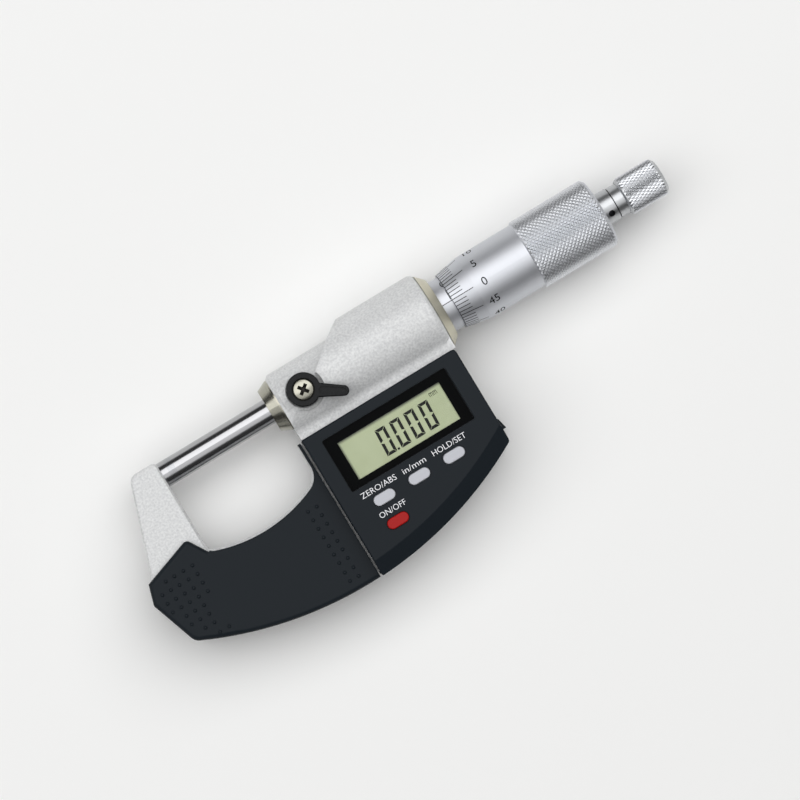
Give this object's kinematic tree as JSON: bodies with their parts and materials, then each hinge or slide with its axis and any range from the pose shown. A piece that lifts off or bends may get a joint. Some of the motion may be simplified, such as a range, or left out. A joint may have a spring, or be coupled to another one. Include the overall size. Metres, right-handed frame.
{
  "type": "digital outside micrometer",
  "caption": "Digital outside micrometer with C-shaped frame, screw spindle, graduated thimble, ratchet stop, lock lever, display with push buttons and plastic grip covers.",
  "frame": {"origin": "on the flat outside of the rear cover, on which the micrometer lies, under the plate of the frame", "axes": "+X along the measuring axis from the anvil towards the ratchet, +Y from the grip towards the barrel, +Z out of the display"},
  "size_m": [0.1609, 0.0596, 0.0242],
  "materials": {
    "hammer_paint": "light grey hammer-finish paint, semi-gloss",
    "hard_metal": "lapped hard metal",
    "ground_steel": "ground and polished steel",
    "nickel": "warm nickel plate, satin",
    "satin_chrome": "satin chrome plate",
    "yellow_brass": "turned brass",
    "spring_steel": "hardened spring wire and strip",
    "black_plastic": "fine-grained black moulding",
    "clear_lens": "clear polished window",
    "lcd_green": "grey-green liquid crystal panel",
    "white_plastic": "white moulding",
    "soft_rubber": "soft rubber",
    "board_green": "glass-fibre board with solder mask",
    "contact_plate": "plated contact strip",
    "cell_steel": "bright nickel-plated can",
    "grey_plastic": "light grey moulding, semi-gloss",
    "red_plastic": "red moulding, semi-gloss"
  },
  "bodies": {
    "frame": {"frame": "hammer_paint", "anvil": "ground_steel", "anvil_tip": "hard_metal", "nose_bush": "nickel", "rear_ring": "nickel", "inner_sleeve": "ground_steel", "graduated_sleeve": "satin_chrome", "adjusting_nut": "yellow_brass", "encoder_stator": "board_green", "encoder_ribbon": "board_green", "lock_pad": "ground_steel", "display_housing": "black_plastic", "display_lens": "clear_lens", "lcd_panel": "lcd_green", "lcd_holder": "white_plastic", "contact_strips": "soft_rubber", "circuit_board": "board_green", "key_mat": "soft_rubber", "rear_cover": "black_plastic", "cover_screws": "ground_steel", "front_grip": "black_plastic", "rear_grip": "black_plastic", "grip_screws": "ground_steel", "coin_battery": "cell_steel", "centre_contact": "contact_plate", "side_contact": "contact_plate", "data_socket": "black_plastic"},
    "encoder_rotor": {"rotor_bush": "yellow_brass", "encoder_rotor": "board_green", "wave_spring": "spring_steel"},
    "spindle": {"spindle": "ground_steel", "spindle_tip": "hard_metal", "thimble": "satin_chrome", "ratchet_base": "satin_chrome", "ratchet_screw": "ground_steel"},
    "ratchet_knob": {"ratchet_knob": "satin_chrome", "ratchet_ring": "ground_steel", "ratchet_spring": "spring_steel"},
    "lock_lever": {"lock_lever": "black_plastic", "lock_shaft": "ground_steel", "lock_screw": "nickel"},
    "zero_button": {"zero_button": "grey_plastic"},
    "unit_button": {"unit_button": "grey_plastic"},
    "hold_button": {"hold_button": "grey_plastic"},
    "power_button": {"power_button": "red_plastic"},
    "battery_cap": {"battery_cap": "black_plastic", "battery_seal": "soft_rubber"},
    "port_shutter": {"port_shutter": "black_plastic"}
  },
  "joints": [
    {"name": "thimble_turn", "type": "hinge", "parent": "frame", "child": "encoder_rotor", "pos_m": [-0.052, 0.016, 0.01095], "axis": [1, 0, 0], "range_deg": [0, 18000]},
    {"name": "spindle_feed", "type": "slide", "parent": "encoder_rotor", "child": "spindle", "axis": [1, 0, 0], "range_m": [0, 0.025]},
    {"name": "ratchet_turn", "type": "hinge", "parent": "spindle", "child": "ratchet_knob", "pos_m": [-0.052, 0.016, 0.01095], "axis": [1, 0, 0], "continuous": true},
    {"name": "lock_lever_turn", "type": "hinge", "parent": "frame", "child": "lock_lever", "pos_m": [-0.0147, 0.016, 0.01095], "axis": [0, 0, 1], "range_deg": [0, 60]},
    {"name": "zero_button_press", "type": "slide", "parent": "frame", "child": "zero_button", "axis": [0, 0, -1], "range_m": [0, 0.0006], "stiffness_N_per_m": 600},
    {"name": "unit_button_press", "type": "slide", "parent": "frame", "child": "unit_button", "axis": [0, 0, -1], "range_m": [0, 0.0006], "stiffness_N_per_m": 600},
    {"name": "hold_button_press", "type": "slide", "parent": "frame", "child": "hold_button", "axis": [0, 0, -1], "range_m": [0, 0.0006], "stiffness_N_per_m": 600},
    {"name": "power_button_press", "type": "slide", "parent": "frame", "child": "power_button", "axis": [0, 0, -1], "range_m": [0, 0.0006], "stiffness_N_per_m": 600},
    {"name": "battery_cap_turn", "type": "hinge", "parent": "frame", "child": "battery_cap", "pos_m": [-0.001, -0.0156, 0.01095], "axis": [0, 0, -1], "range_deg": [0, 60]},
    {"name": "port_shutter_slide", "type": "slide", "parent": "frame", "child": "port_shutter", "axis": [0, 1, 0], "range_m": [0, 0.0085]}
  ],
  "couplings": [
    {"joint": "thimble_turn", "follows": "spindle_feed", "rad_per_m": 12566}
  ]
}
